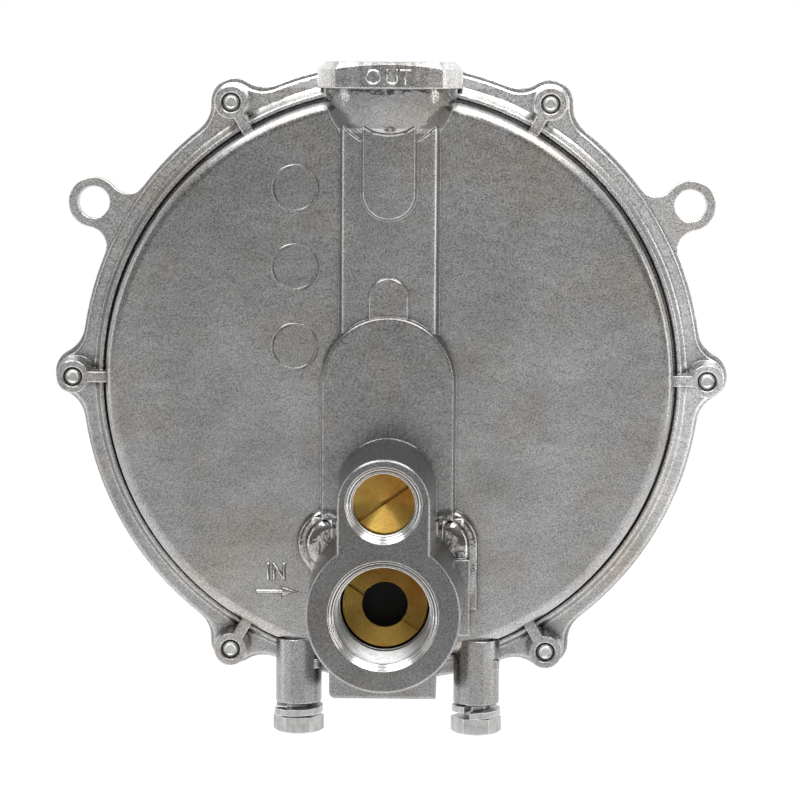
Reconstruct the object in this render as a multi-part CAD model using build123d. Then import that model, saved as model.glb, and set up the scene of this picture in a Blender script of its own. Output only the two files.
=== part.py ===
from build123d import *
import os
from math import cos, pi, radians, sin, sqrt, tan

# Low pressure gas regulator with a six inch diaphragm, for engine fuel gas.
# Design frame, in millimetres: X to the right, Y up towards the outlet and Z
# forward towards the inlet. Z is zero on the face where the body casting and
# the rear cover meet, and X and Y are zero on the axis of the diaphragm.

# Joint between body and cover
flange_r = 78.5
flange_t = 4.5
cover_flange_r = 79.4
cover_flange_t = 4.0
screw_circle_r = 80.0
screw_count = 6
ear_r = 5.1
cover_ear_r = 6.1
ear_blend_r = 8.0
edge_round = 0.8

# How far a cut or a raised form reaches past the face that it starts from,
# and the reach of a block that trims a form on one side
overlap = 1.0
far = 120.0

# Cover screws and the cast posts that they thread into
cover_screw_r = 2.08
cover_screw_chamfer = 0.35
cover_screw_recess = 0.5
cover_screw_head_r = 3.9
cover_screw_head_h = 2.8
cover_screw_head_round = 1.2
drive_r = 2.2
drive_w = 1.0
drive_depth = 1.5
screw_clearance = 0.12
thread_clearance = 0.03
post_top_z = 14.5
post_top_r = 4.1
post_foot_r = 4.7
post_mouth_r = 2.6
post_mouth_depth = 0.9
gusset_w = 2.6
gusset_draft = 0.35
gusset_sunk = 0.7

# Drum of the body
plate_z = 18.5
wall = 3.0
rim_r = 71.2
rim_round = 2.8
wall_draft = 0.6
groove_r = 72.3
groove_z = 8.8
bead_r = 73.7
bead_z = 9.8
bead_foot_r = 75.2
bead_foot_round = 0.7
bead_round = 0.35
groove_slope = 0.5
groove_edge_round = 0.3
drum_skirt = 1.5
cavity_r = 68.2
diaphragm_seat_r = 77.8

# Outlet boss, neck and channel
outlet_bore_r = 11.8
outlet_mouth_r = 13.4
outlet_depth = 15.0
outlet_z = 14.6
outlet_top_y = 79.5
port_wall_half = 15.0
port_wall_y = 63.0
port_wall_z = 1.2
collar_r = 18.05
collar_z = 20.2
collar_flat = 12.4
collar_h = 6.5
collar_bevel = 1.9
collar_crown_r = 78.8
neck_r = 16.7
neck_drop = 0.2
channel_half = 12.8
channel_z = 23.3
channel_draft = 0.9
channel_round = 2.2
channel_root = 1.5
channel_into_neck = 4.0
channel_foot_y = 8.0
passage_half = 9.5
facet_half = 6.4
facet_z = 27.4
facet_draft = 0.8
facet_foot_y = 40.8
tab_half = 4.7
tab_z = 24.8
tab_top_y = 25.9
tab_draft = 0.2

# Lever pad, tower and inlet boss
pad_r = 17.0
pad_z = 26.4
pad_draft = 0.6
pad_round = 0.7
pad_foot_y = -34.3
pocket_half = 13.0
pocket_z = 23.4
pocket_low_y = -31.3
pocket_low_half = 10.4
pocket_foot_y = -61.0
tower_y = -26.05
tower_r = 11.1
tower_draft = 1.5
front_z = 61.0
inlet_y = -52.7
inlet_boss_r = 18.6
inlet_boss_draft = 0.8
inlet_bore_r = 11.8
inlet_mouth_r = 13.4
inlet_depth = 17.5
front_edge = 0.4
lobe_x = 13.8
lobe_y = -41.0
lobe_r = 9.0
lobe_z = 21.0
lobe_step_r = 6.9
lobe_step_z = 24.2
lobe_round = 1.4
lobe_step_round = 2.8
lobe_foot_y = -58.0
root_r = 6.5
root_z = 21.5
side_block_x = 20.6
side_block_top_y = -44.0
side_block_foot_y = -63.0
side_block_z = 27.0

# Blank boss below the inlet
blank_half = 13.3
blank_x = -0.9
blank_foot_y = -78.7
blank_z = 30.0
blank_round = 1.5
blank_edge_round = 0.8

# Bracket bosses with their bolts and lock washers
bracket_spacing = 45.1
bracket_boss_r = 5.8
bracket_boss_z = 14.0
bracket_top_y = -65.9
bracket_foot_y = -82.5
bracket_hole_depth = 15.0
bracket_rib_r = 1.1
bracket_rib_forward = 3.2
bracket_rib_drop = 5.0
bracket_edge_round = 0.7
bolt_r = 3.1
bolt_length = 12.7
bolt_head_flats = 11.1
bolt_head_h = 4.2
bolt_crown_grow = 1.0
bolt_crown_drop = 0.6
bolt_crown_in = 1.4
bolt_clearance = 0.08
washer_outer_r = 6.15
washer_inner_r = 3.35
washer_t = 1.6
washer_turn = 0.96
washer_seat_gap = 0.05
washer_gap_degs = (200.0, 120.0)

# Orifice jet and its seal
orifice_bore_r = 5.556
orifice_head_r = 10.55
orifice_head_h = 3.2
orifice_face_z = 42.6
orifice_land = 1.2
orifice_shank_r = 9.0
orifice_seat_z = 35.0
orifice_seat_in_r = 6.9
orifice_seat_out_r = 7.9
orifice_nose_h = 0.6
orifice_lead = 0.5
orifice_edge_round = 0.3
orifice_slot_w = 2.2
orifice_slot_depth = 1.6
orifice_slot_deg = -33.0
orifice_pocket_gap = 0.4
orifice_ring_wire_r = 0.45
orifice_relief = 1.9
inlet_cavity_r = 11.6

# Adjusting screw and its seal
adjuster_r = 7.65
adjuster_bore_gap = 0.05
adjuster_face_z = 54.5
adjuster_length = 10.0
adjuster_mouth_r = 9.3
adjuster_slot_w = 0.9
adjuster_slot_depth = 1.8
adjuster_slot_deg = 35.0
adjuster_ring_wire_r = 0.9
adjuster_ring_play = 0.01
adjuster_groove_z = 50.0
adjuster_groove_play = 0.1
adjuster_edge_round = 0.3
adjuster_pilot_r = 2.9
adjuster_pilot_tip_r = 2.6
adjuster_pilot_h = 3.0

# Lever, pivot and valve disc
lever_pivot_y = -40.0
lever_pivot_z = 19.0
lever_z = 15.5
lever_t = 1.6
lever_half = 4.5
lever_tip_flat = 0.2
lever_top_y = 4.5
lever_foot_y = -58.0
lever_ear_r = 3.0
lever_ear_t = 1.6
pin_r = 1.5
pin_half = 9.6
pin_running_gap = 0.03
pin_chamfer = 0.3
saddle_inner_x = 5.6
saddle_top_y = -31.5
saddle_foot_y = -43.5
saddle_sunk = 0.5
pin_screw_r = 1.1
pin_screw_head_r = 2.3
pin_screw_head_h = 1.6
pin_screw_length = 5.6
pin_screw_offset = 3.1
pin_screw_hole_spare = 0.5
pin_screw_head_round = 0.8
pin_screw_slot_w = 0.8
pin_screw_slot_depth = 0.9
disc_r = 8.8
disc_t = 2.4
disc_seat_gap = 0.02
holder_lip_r = 9.6
holder_t = 0.9
holder_stem_r = 1.6
holder_post_r = 3.0
holder_lip_h = 1.2
holder_rivet_r = 2.9
holder_rivet_tip_r = 2.4
holder_rivet_h = 1.0

# Lever spring
spring_outer_r = 4.2
spring_wire_r = 0.45
spring_turns = 9.0
spring_end_gap = 0.3

# Diaphragm stack
diaphragm_t = 0.8
diaphragm_r = 77.6
convolution_mid_r = 62.0
convolution_r = 3.6
front_plate_r = 54.0
rear_plate_r = 50.0
plate_t = 1.0
plate_lip_h = 2.0
rivet_stem_r = 3.0
rivet_bore_gap = 0.1
rivet_head_h = 2.0
rivet_nose_r = 3.5
rivet_nose_cone = 1.5
rivet_nose_round = 1.2
rivet_head_r = 6.0
rivet_gap = 0.3
rivet_rear_r = 5.0
rivet_rear_h = 2.0
stack_gap = 0.02

# Rear cover
cover_depth = 16.0
cover_wall = 2.6
cover_drum_r = 70.6
cover_drum_draft = 1.0
cover_round = 6.0
lug_r = 6.4
lug_t = 4.5
lug_circle_r = 87.77
lug_deg = 29.75
lug_hole_r = 4.1
lug_blend_r = 5.0
cover_step_r = 48.0
cover_step_h = 2.0
cover_step_slope = 2.0
cover_step_wall = 1.0
vent_y = -36.0
vent_r = 1.6
vent_boss_r = 5.0
vent_boss_h = 2.0

# Primer button, spring and clip
primer_boss_r = 11.5
primer_boss_z = -25.5
primer_boss_draft = 1.0
primer_recess_r = 8.4
primer_floor_z = -17.0
primer_cap_r = 8.1
primer_cap_h = 4.0
primer_cap_sunk = 0.6
primer_cap_round = 1.2
primer_stem_r = 3.0
primer_stem_gap = 0.05
primer_stem_round = 0.8
primer_sleeve_r = 5.6
primer_sleeve_z = -8.0
primer_tip_gap = 0.3
primer_clip_r = 5.2
primer_clip_t = 0.8
primer_clip_play = 0.05
primer_clip_groove = 0.6
primer_clip_gap_w = 3.8
primer_spring_r = 5.6
primer_spring_wire_r = 0.45
primer_spring_turns = 4.0
primer_spring_gap = 0.1

# Derived places
lug_y = lug_circle_r * sin(radians(lug_deg))
lug_x = lug_circle_r * cos(radians(lug_deg))
cover_rear_z = -cover_depth
rivet_tip_z = lever_z - rivet_gap
rear_plate_z = -plate_t - stack_gap
rivet_end_z = rear_plate_z - stack_gap - rivet_rear_h
bolt_seat_y = bracket_foot_y - washer_t * (1.0 + washer_turn) - 2 * washer_seat_gap


def polar(radius, angle):
    """Point at a radius and an angle in degrees."""
    return (radius * cos(radians(angle)), radius * sin(radians(angle)))


def ring_angles(count, start=0.0):
    """Angles of a number of evenly spaced features."""
    return [start + 360.0 * index / count for index in range(count)]


def at_height(y):
    """Plane that faces up at a height, with local axes (forward, right)."""
    return Plane(origin=(0, y, 0), x_dir=(0, 0, 1), z_dir=(0, 1, 0))


def turned(points, rounds=()):
    """Solid of revolution about Z from (radius, z) points, with rounded corners."""
    profile = make_face(Polyline(*points, close=True))
    for radius, z, size in rounds:
        corner = profile.vertices().sort_by_distance((radius, z, 0))[0]
        profile = fillet(corner, size)
    return revolve(Plane.XZ * profile, Axis.Z)


def disc(radius, z_low, z_high, x=0.0, y=0.0):
    """Plain cylinder along Z between two levels."""
    return Pos(x, y, z_low) * Cylinder(radius, z_high - z_low, align=(Align.CENTER, Align.CENTER, Align.MIN))


def cone(low_r, high_r, z_low, z_high, x=0.0, y=0.0):
    """Cone frustum along Z between two levels."""
    base_centre = (Align.CENTER, Align.CENTER, Align.MIN)
    return Pos(x, y, z_low) * Cone(low_r, high_r, z_high - z_low, align=base_centre)


def block(x_low, x_high, y_low, y_high, z_low, z_high):
    """Box between two corners."""
    size = (x_high - x_low, y_high - y_low, z_high - z_low)
    return Pos(x_low, y_low, z_low) * Box(*size, align=(Align.MIN, Align.MIN, Align.MIN))


def arch(radius, y_centre, y_foot):
    """Sketch with a half round top and straight sides down to a foot."""
    shaft = Pos(0, (y_centre + y_foot) / 2) * Rectangle(2 * radius, y_centre - y_foot)
    return Pos(0, y_centre) * Circle(radius) + shaft


def drafted(outline, z_low, z_high, draft):
    """Cast form whose outline shrinks by a draft from its foot to its top."""
    return loft([Pos(0, 0, z_low) * outline(draft), Pos(0, 0, z_high) * outline(0.0)], ruled=True)


def top_edges(solid, z):
    """Edges of a solid that lie on a level."""
    return solid.edges().filter_by_position(Axis.Z, z - 0.01, z + 0.01)


def flange_outline(rim, ear, lugs=False):
    """Round flange with six screw ears, and with the two fixing lugs if wanted."""
    shape = Circle(rim)
    for angle in ring_angles(screw_count):
        shape += Pos(*polar(screw_circle_r, angle)) * Circle(ear)
    corners = shape.vertices().filter_by(lambda v: abs(v.center().length - rim) < 0.01)
    shape = fillet(corners, ear_blend_r)
    if lugs:
        for angle in (lug_deg, 180.0 - lug_deg):
            shape += Rot(0, 0, angle) * lug_outline(rim)
    return shape


def lug_outline(rim):
    """Lug on the X axis with concave arcs that run into the rim."""
    from_axis = rim + lug_blend_r
    from_lug = lug_r + lug_blend_r
    along = (from_axis**2 + lug_circle_r**2 - from_lug**2) / (2 * lug_circle_r)
    across = sqrt(from_axis**2 - along**2)
    web = make_face(Polyline((0, 0), (along, -across), (lug_circle_r, 0), (along, across), close=True))
    for side in (-1, 1):
        web -= Pos(along, side * across) * Circle(lug_blend_r)
    return web + Pos(lug_circle_r, 0) * Circle(lug_r)


def screw_posts():
    """Six screw posts with the gussets that tie them to the drum."""
    gusset_l = screw_circle_r - rim_r + gusset_sunk
    posts = []
    for angle in ring_angles(screw_count):
        post = cone(post_foot_r, post_top_r, 0, post_top_z)
        gusset = drafted(
            lambda grow: Pos(-gusset_l / 2, 0) * Rectangle(gusset_l, gusset_w + 2 * grow),
            0,
            post_top_z,
            gusset_draft,
        )
        posts.append(Pos(*polar(screw_circle_r, angle)) * Rot(0, 0, angle) * (post + gusset))
    return posts


def drum():
    """Round pan of the body with its bead, groove and rounded rim."""
    points = [
        (0, 0),
        (bead_foot_r + drum_skirt, 0),
        (bead_foot_r + drum_skirt, flange_t),
        (bead_foot_r, flange_t),
        (bead_r, bead_z),
        (groove_r + groove_slope, bead_z),
        (groove_r, groove_z),
        (rim_r + wall_draft, groove_z),
        (rim_r, plate_z),
        (0, plate_z),
    ]
    rounds = [
        (rim_r, plate_z, rim_round),
        (bead_foot_r, flange_t, bead_foot_round),
        (bead_r, bead_z, bead_round),
        (groove_r + groove_slope, bead_z, groove_edge_round),
    ]
    return turned(points, rounds)


def outlet_boss():
    """Round collar with a front flat above a ball-shaped neck."""
    face_z = collar_z + collar_flat
    collar = extrude(at_height(outlet_top_y - collar_h) * (Pos(collar_z, 0) * Circle(collar_r)), collar_h)
    collar += block(-collar_r, collar_r, outlet_top_y - collar_h, outlet_top_y, 0, collar_z)
    rim = collar.edges().filter_by_position(Axis.Y, outlet_top_y - 0.01, outlet_top_y + 0.01)
    collar = chamfer(rim, collar_bevel, collar_bevel)
    collar &= block(-far, far, 0, far, 0, face_z)
    crown_foot_r = collar_crown_r + face_z
    crown = turned(
        [(0, 0), (crown_foot_r, 0), (collar_crown_r, face_z), (collar_crown_r, front_z), (0, front_z)]
    )
    neck = Pos(0, outlet_top_y - collar_h - neck_drop, outlet_z) * Sphere(neck_r)
    neck &= block(-far, far, 0, outlet_top_y - collar_h + overlap, 0, far)
    return (collar & crown) + neck


def channel():
    """Raised outlet channel with its long flat facet and the small tab below it."""
    section = make_face(
        Polyline(
            (-channel_half, plate_z - channel_root),
            (-channel_half + channel_draft, channel_z),
            (channel_half - channel_draft, channel_z),
            (channel_half, plate_z - channel_root),
            close=True,
        )
    )
    section = fillet(section.vertices().filter_by(lambda corner: corner.Y > plate_z), channel_round)
    top_y = outlet_top_y - collar_h - channel_into_neck
    run = extrude(Plane.XZ.offset(-channel_foot_y) * section, -(top_y - channel_foot_y))
    foot_centre = facet_foot_y + facet_half

    def facet_plan(grow):
        half = facet_half + grow
        return Rot(0, 0, 180) * arch(half, -foot_centre, -top_y)

    facet = drafted(facet_plan, channel_z - overlap, facet_z, facet_draft)

    def tab_plan(grow):
        return arch(tab_half + grow, tab_top_y - tab_half, channel_foot_y)

    tab = drafted(tab_plan, channel_z - overlap, tab_z, tab_draft)
    return run + facet + tab


def lever_pad():
    """Large raised pad over the lever, with a half round top."""
    top_r = pad_r - pad_draft
    pad = drafted(lambda grow: arch(top_r + grow, 0, pad_foot_y), plate_z - overlap, pad_z, pad_draft)
    return fillet(top_edges(pad, pad_z), pad_round)


def tower():
    """Keyhole-shaped tower that holds the adjusting screw and the inlet."""
    foot_z = plate_z - overlap
    shaft = drafted(lambda grow: arch(tower_r + grow, tower_y, inlet_y), foot_z, front_z, tower_draft)
    boss = cone(inlet_boss_r + inlet_boss_draft, inlet_boss_r, foot_z, front_z, y=inlet_y)
    form = shaft + boss
    return chamfer(top_edges(form, front_z), front_edge)


def lobe(x, radius, z, foot_y, edge):
    """Round boss beside the tower with a rounded edge, which may run down to a foot."""
    form = disc(radius, plate_z - overlap, z, x, lobe_y)
    if foot_y < lobe_y:
        form += block(x - radius, x + radius, foot_y, lobe_y, plate_z - overlap, z)
    return fillet(top_edges(form, z), edge)


def tower_lobes():
    """Stepped lobes beside the tower, with a flat block on the right side."""
    form = block(0, side_block_x, side_block_foot_y, side_block_top_y, plate_z - overlap, side_block_z)
    for x, foot_y in ((-lobe_x, lobe_y), (lobe_x, lobe_foot_y)):
        form += lobe(x, lobe_r, lobe_z, foot_y, lobe_round)
        form += lobe(x, lobe_step_r, lobe_step_z, foot_y, lobe_step_round)
    return form


def tower_root():
    """Concave root between the tower and the lobes, below the pad."""
    steps = 5
    sections = []
    for index in range(steps + 1):
        turn = radians(90.0 * index / steps)
        grow = tower_draft + root_r * (1.0 - sin(turn))
        level = root_z + root_r * (1.0 - cos(turn))
        sections.append(Pos(0, 0, level) * arch(tower_r + grow, tower_y, lobe_foot_y))
    root = loft(sections, ruled=True)
    return root & block(-far, far, lobe_foot_y, pad_foot_y, 0, front_z)


def blank_boss():
    """Square boss below the inlet, left without a port."""
    form = block(blank_x - blank_half, blank_x + blank_half, blank_foot_y, inlet_y, 0, blank_z)
    corner = form.edges().filter_by(Axis.Z).sort_by(Axis.Y)[:2].sort_by(Axis.X)[0]
    form = fillet(corner, blank_round)
    return fillet(top_edges(form, blank_z), blank_edge_round)


def bracket_boss(side):
    """Upright boss for a bracket bolt, on the left (-1) or right (+1) side."""
    x = side * bracket_spacing / 2
    plane = at_height(bracket_foot_y)
    barrel_plan = Pos(bracket_boss_z, x) * Circle(bracket_boss_r)
    barrel = extrude(plane * barrel_plan, bracket_top_y - bracket_foot_y)
    low_rim = barrel.edges().sort_by(Axis.Y)[0]
    barrel = fillet(low_rim, bracket_edge_round)
    web_foot = -sqrt(flange_r**2 - (abs(x) + bracket_boss_r) ** 2)
    web = block(x - bracket_boss_r, x + bracket_boss_r, web_foot, bracket_top_y, overlap, bracket_boss_z)
    rib_x = x + bracket_boss_r - bracket_rib_r
    rib = extrude(
        at_height(web_foot) * (Pos(bracket_boss_z + bracket_rib_forward, rib_x) * Circle(bracket_rib_r)),
        bracket_top_y - web_foot - bracket_rib_drop,
    )
    return barrel + web + rib


def body_cavity():
    """Everything that is cored, bored or tapped out of the body."""
    port_wall = block(-port_wall_half, port_wall_half, port_wall_y, rim_r, port_wall_z, plate_z)
    cuts = [disc(cavity_r, 0, plate_z - wall) - port_wall, disc(diaphragm_seat_r, 0, diaphragm_t)]
    cuts.append(extrude(Pos(0, 0, overlap) * arch(pocket_half, 0, pocket_low_y), pocket_z - overlap))
    cuts.append(block(-pocket_low_half, pocket_low_half, pocket_foot_y, 0, overlap, pocket_z))
    passage_top = outlet_top_y - outlet_depth
    cuts.append(block(-passage_half, passage_half, 0, passage_top + overlap, overlap, channel_z - wall))
    cuts.append(extrude(at_height(passage_top) * (Pos(outlet_z, 0) * Circle(outlet_bore_r)), outlet_depth))
    cuts.append(mouth_cone(outlet_mouth_r, outlet_bore_r, at_height(outlet_top_y), outlet_z, 0.0))
    cuts.append(disc(inlet_bore_r, front_z - inlet_depth, front_z, y=inlet_y))
    inlet_bevel = inlet_mouth_r - inlet_bore_r
    cuts.append(cone(inlet_bore_r, inlet_mouth_r, front_z - inlet_bevel, front_z, y=inlet_y))
    head_seat_z = orifice_face_z - orifice_head_h
    cuts.append(disc(orifice_head_r + orifice_pocket_gap, head_seat_z, front_z - overlap, y=inlet_y))
    cuts.append(disc(orifice_shank_r + thread_clearance, pocket_z - overlap, front_z - overlap, y=inlet_y))
    cuts.append(disc(inlet_cavity_r, overlap, orifice_seat_z + orifice_nose_h, y=inlet_y))
    relief_r = orifice_shank_r + orifice_relief
    cuts.append(cone(orifice_shank_r, relief_r, head_seat_z - orifice_relief, head_seat_z, y=inlet_y))
    cuts.append(disc(adjuster_r + adjuster_bore_gap, pocket_z - overlap, front_z, y=tower_y))
    bevel = adjuster_mouth_r - adjuster_r
    cuts.append(cone(adjuster_r, adjuster_mouth_r, front_z - bevel, front_z, y=tower_y))
    for angle in ring_angles(screw_count):
        x, y = polar(screw_circle_r, angle)
        cuts.append(disc(cover_screw_r + thread_clearance, 0, post_top_z, x, y))
        cuts.append(cone(cover_screw_r, post_mouth_r, post_top_z - post_mouth_depth, post_top_z, x, y))
    for side in (-1, 1):
        hole = Pos(bracket_boss_z, side * bracket_spacing / 2) * Circle(bolt_r + bolt_clearance)
        cuts.append(extrude(at_height(bracket_foot_y) * hole, bracket_hole_depth))
    return cuts


def mouth_cone(mouth_r, bore_r, plane, forward, right):
    """Countersink of an upright port."""
    depth = mouth_r - bore_r
    base_centre = (Align.CENTER, Align.CENTER, Align.MIN)
    tool = Pos(forward, right, -depth) * Cone(bore_r, mouth_r, depth, align=base_centre)
    return plane.location * tool


def pin_saddles():
    """Two cast saddles in the lever pocket, slotted for the pivot pin."""
    saddle_z = lever_pivot_z - pin_r
    saddles = []
    for side in (-1, 1):
        x_low, x_high = sorted((side * saddle_inner_x, side * (pocket_low_half + saddle_sunk)))
        saddle = block(x_low, x_high, saddle_foot_y, saddle_top_y, saddle_z, pocket_z + saddle_sunk)
        half = pin_r + pin_running_gap
        slot = block(-far, far, lever_pivot_y - half, lever_pivot_y + half, saddle_z - overlap, lever_pivot_z)
        hole_x, hole_y = pin_screw_place(side)
        hole_r = pin_screw_r + thread_clearance
        hole = disc(hole_r, saddle_z - overlap, saddle_z + pin_screw_length, hole_x, hole_y)
        trough = Pos(0, lever_pivot_y, lever_pivot_z) * Rot(0, 90, 0) * Cylinder(half, far)
        saddles.append(saddle - slot - hole - trough)
    return saddles


def pin_screw_place(side):
    """Centre of a pin screw beside the pivot pin."""
    return side * (saddle_inner_x + pocket_low_half) / 2, lever_pivot_y + pin_screw_offset


def body_casting():
    """Die-cast front body in one piece."""
    rim = extrude(flange_outline(flange_r, ear_r), flange_t)
    rim = fillet(top_edges(rim, flange_t), edge_round)
    form = drum() + rim
    for post in screw_posts():
        form += post
    for piece in (outlet_boss(), channel(), lever_pad(), tower_lobes(), tower_root(), blank_boss(), tower()):
        form += piece
    for side in (-1, 1):
        form += bracket_boss(side)
    for cut in body_cavity():
        form -= cut
    for saddle in pin_saddles():
        form += saddle
    return form


def rear_cover():
    """Cast rear cover with its lugs, vent and primer boss."""
    outline = flange_outline(cover_flange_r, cover_ear_r, lugs=True)
    flange = extrude(Pos(0, 0, -cover_flange_t) * outline, cover_flange_t)
    outer = turned(
        [
            (0, 0),
            (cover_drum_r + cover_drum_draft, 0),
            (cover_drum_r, cover_rear_z),
            (cover_step_r + cover_step_slope, cover_rear_z),
            (cover_step_r, cover_rear_z - cover_step_h),
            (0, cover_rear_z - cover_step_h),
        ],
        [(cover_drum_r, cover_rear_z, cover_round)],
    )
    inner_r = cover_drum_r - cover_wall
    inner_step_r = cover_step_r - cover_step_slope - cover_step_wall
    inner = turned(
        [
            (0, 0),
            (inner_r + cover_drum_draft, 0),
            (inner_r, cover_rear_z + cover_wall),
            (inner_step_r + cover_step_slope, cover_rear_z + cover_wall),
            (inner_step_r, cover_rear_z + cover_wall - cover_step_h),
            (0, cover_rear_z + cover_wall - cover_step_h),
        ],
        [(inner_r, cover_rear_z + cover_wall, cover_round - cover_wall)],
    )
    form = flange + outer
    for side in (-1, 1):
        form += disc(lug_r, -lug_t, 0, side * lug_x, lug_y)
    step_z = cover_rear_z - cover_step_h
    form += cone(primer_boss_r, primer_boss_r + primer_boss_draft, primer_boss_z, step_z + overlap)
    vent_x = -vent_y * tan(radians(30.0))
    form += disc(vent_boss_r, step_z - vent_boss_h, step_z + overlap, vent_x, vent_y)
    form -= inner
    form += disc(primer_sleeve_r, step_z + overlap, primer_sleeve_z)
    form -= disc(primer_recess_r, primer_boss_z, primer_floor_z)
    form -= disc(primer_stem_r + primer_stem_gap, primer_boss_z, 0)
    form -= disc(vent_r, step_z - vent_boss_h, 0, vent_x, vent_y)
    for angle in ring_angles(screw_count):
        form -= disc(cover_screw_r + screw_clearance, -cover_flange_t, 0, *polar(screw_circle_r, angle))
    for side in (-1, 1):
        form -= disc(lug_hole_r, -lug_t, 0, side * lug_x, lug_y)
    return form


def cover_screws():
    """Six pan head screws that enter from the rear."""
    tip_z = post_top_z - cover_screw_recess
    screws = []
    for angle in ring_angles(screw_count):
        seat_z = -cover_flange_t - stack_gap
        shank = disc(cover_screw_r, seat_z, tip_z)
        shank = chamfer(top_edges(shank, tip_z), cover_screw_chamfer)
        rear_z = seat_z - cover_screw_head_h
        head = disc(cover_screw_head_r, rear_z, seat_z)
        head = fillet(top_edges(head, rear_z), cover_screw_head_round)
        drive = disc(drive_r, rear_z, rear_z + drive_depth)
        wing = Box(2 * drive_r, drive_w, far)
        drive &= wing + Rot(0, 0, 90) * wing
        screws.append(Pos(*polar(screw_circle_r, angle)) * (shank + head - drive))
    return screws


def bracket_bolts():
    """Two hexagon head bolts below the body."""
    bolts = []
    for side in (-1, 1):
        x = side * bracket_spacing / 2
        hexagon = RegularPolygon(bolt_head_flats / 2, 6, major_radius=False, rotation=30.0)
        head = extrude(at_height(bolt_seat_y - bolt_head_h) * (Pos(bracket_boss_z, x) * hexagon), bolt_head_h)
        crown_r = bolt_head_flats / 2 + bolt_crown_grow
        crown_plan = Pos(bracket_boss_z, x) * Circle(crown_r)
        crown = extrude(at_height(bolt_seat_y - bolt_head_h) * crown_plan, far)
        low_edge = crown.edges().sort_by(Axis.Y)[0]
        crown = chamfer(low_edge, bolt_crown_drop, bolt_crown_in)
        shank = extrude(at_height(bolt_seat_y) * (Pos(bracket_boss_z, x) * Circle(bolt_r)), bolt_length)
        bolts.append((head & crown) + shank)
    return bolts


def lock_washers():
    """Two split lock washers, open at their free height."""
    middle_r = (washer_outer_r + washer_inner_r) / 2
    rise = washer_t * washer_turn
    washers = []
    for side, start in zip((-1, 1), washer_gap_degs):
        path = Helix(pitch=washer_t, height=rise, radius=middle_r)
        section = Plane(origin=path @ 0, x_dir=(1, 0, 0), z_dir=path % 0) * Rectangle(
            washer_outer_r - washer_inner_r, washer_t
        )
        washer = sweep(section, path=path, is_frenet=True)
        washer_y = bracket_foot_y - washer_seat_gap - washer_t / 2
        place = Pos(side * bracket_spacing / 2, washer_y, bracket_boss_z)
        washers.append(place * Rot(90, 0, 0) * Rot(0, 0, start) * washer)
    return washers


def inlet_orifice():
    """Brass orifice jet with a slotted head and a valve seat on its inner end."""
    head_z = orifice_face_z - orifice_head_h
    nose_z = orifice_seat_z + orifice_nose_h
    jet = turned(
        [
            (orifice_seat_in_r, orifice_seat_z),
            (orifice_seat_out_r, orifice_seat_z),
            (orifice_shank_r, nose_z + orifice_lead),
            (orifice_shank_r, head_z),
            (orifice_head_r, head_z),
            (orifice_head_r, orifice_face_z),
            (orifice_bore_r, orifice_face_z),
            (orifice_bore_r, orifice_face_z - orifice_land),
        ],
        [(orifice_head_r, orifice_face_z, orifice_edge_round)],
    )
    slot_floor_z = orifice_face_z - orifice_slot_depth
    slot = block(-far, far, -orifice_slot_w / 2, orifice_slot_w / 2, slot_floor_z, front_z)
    return Pos(0, inlet_y, 0) * (jet - Rot(0, 0, orifice_slot_deg) * slot)


def orifice_o_ring():
    """Seal under the head of the orifice jet."""
    head_z = orifice_face_z - orifice_head_h
    wire = orifice_ring_wire_r
    return Pos(0, inlet_y, head_z - wire - stack_gap) * Torus(orifice_shank_r + wire + stack_gap, wire)


def adjusting_screw():
    """Brass adjusting screw with a thin slot, a seal groove and a spring pilot."""
    rear_z = adjuster_face_z - adjuster_length
    groove_r_in = adjuster_r - 2 * adjuster_ring_wire_r
    half = adjuster_ring_wire_r + adjuster_groove_play
    screw = turned(
        [
            (0, rear_z - adjuster_pilot_h),
            (adjuster_pilot_tip_r, rear_z - adjuster_pilot_h),
            (adjuster_pilot_r, rear_z),
            (adjuster_r, rear_z),
            (adjuster_r, adjuster_groove_z - half),
            (groove_r_in, adjuster_groove_z - half),
            (groove_r_in, adjuster_groove_z + half),
            (adjuster_r, adjuster_groove_z + half),
            (adjuster_r, adjuster_face_z),
            (0, adjuster_face_z),
        ],
        [(adjuster_r, adjuster_face_z, adjuster_edge_round)],
    )
    slot_floor_z = adjuster_face_z - adjuster_slot_depth
    slot = block(-far, far, -adjuster_slot_w / 2, adjuster_slot_w / 2, slot_floor_z, front_z)
    return Pos(0, tower_y, 0) * (screw - Rot(0, 0, adjuster_slot_deg) * slot)


def adjusting_screw_o_ring():
    """Seal in the groove of the adjusting screw."""
    wire = adjuster_ring_wire_r - 2 * adjuster_ring_play
    ring_r = adjuster_r - adjuster_ring_wire_r - adjuster_ring_play
    return Pos(0, tower_y, adjuster_groove_z) * Torus(ring_r, wire)


def coil(outer_r, wire_r, low_z, high_z, turns):
    """Compression spring between two levels."""
    middle_r = outer_r - wire_r
    height = high_z - low_z - 2 * wire_r
    path = Helix(pitch=height / turns, height=height, radius=middle_r)
    section = Plane(origin=path @ 0, z_dir=path % 0) * Circle(wire_r)
    return Pos(0, 0, low_z + wire_r) * sweep(section, path=path, is_frenet=True)


def lever_spring():
    """Spring between the adjusting screw and the lever."""
    low = lever_z + lever_t + spring_end_gap
    high = adjuster_face_z - adjuster_length - spring_end_gap
    return Pos(0, tower_y, 0) * coil(spring_outer_r, spring_wire_r, low, high, spring_turns)


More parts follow.
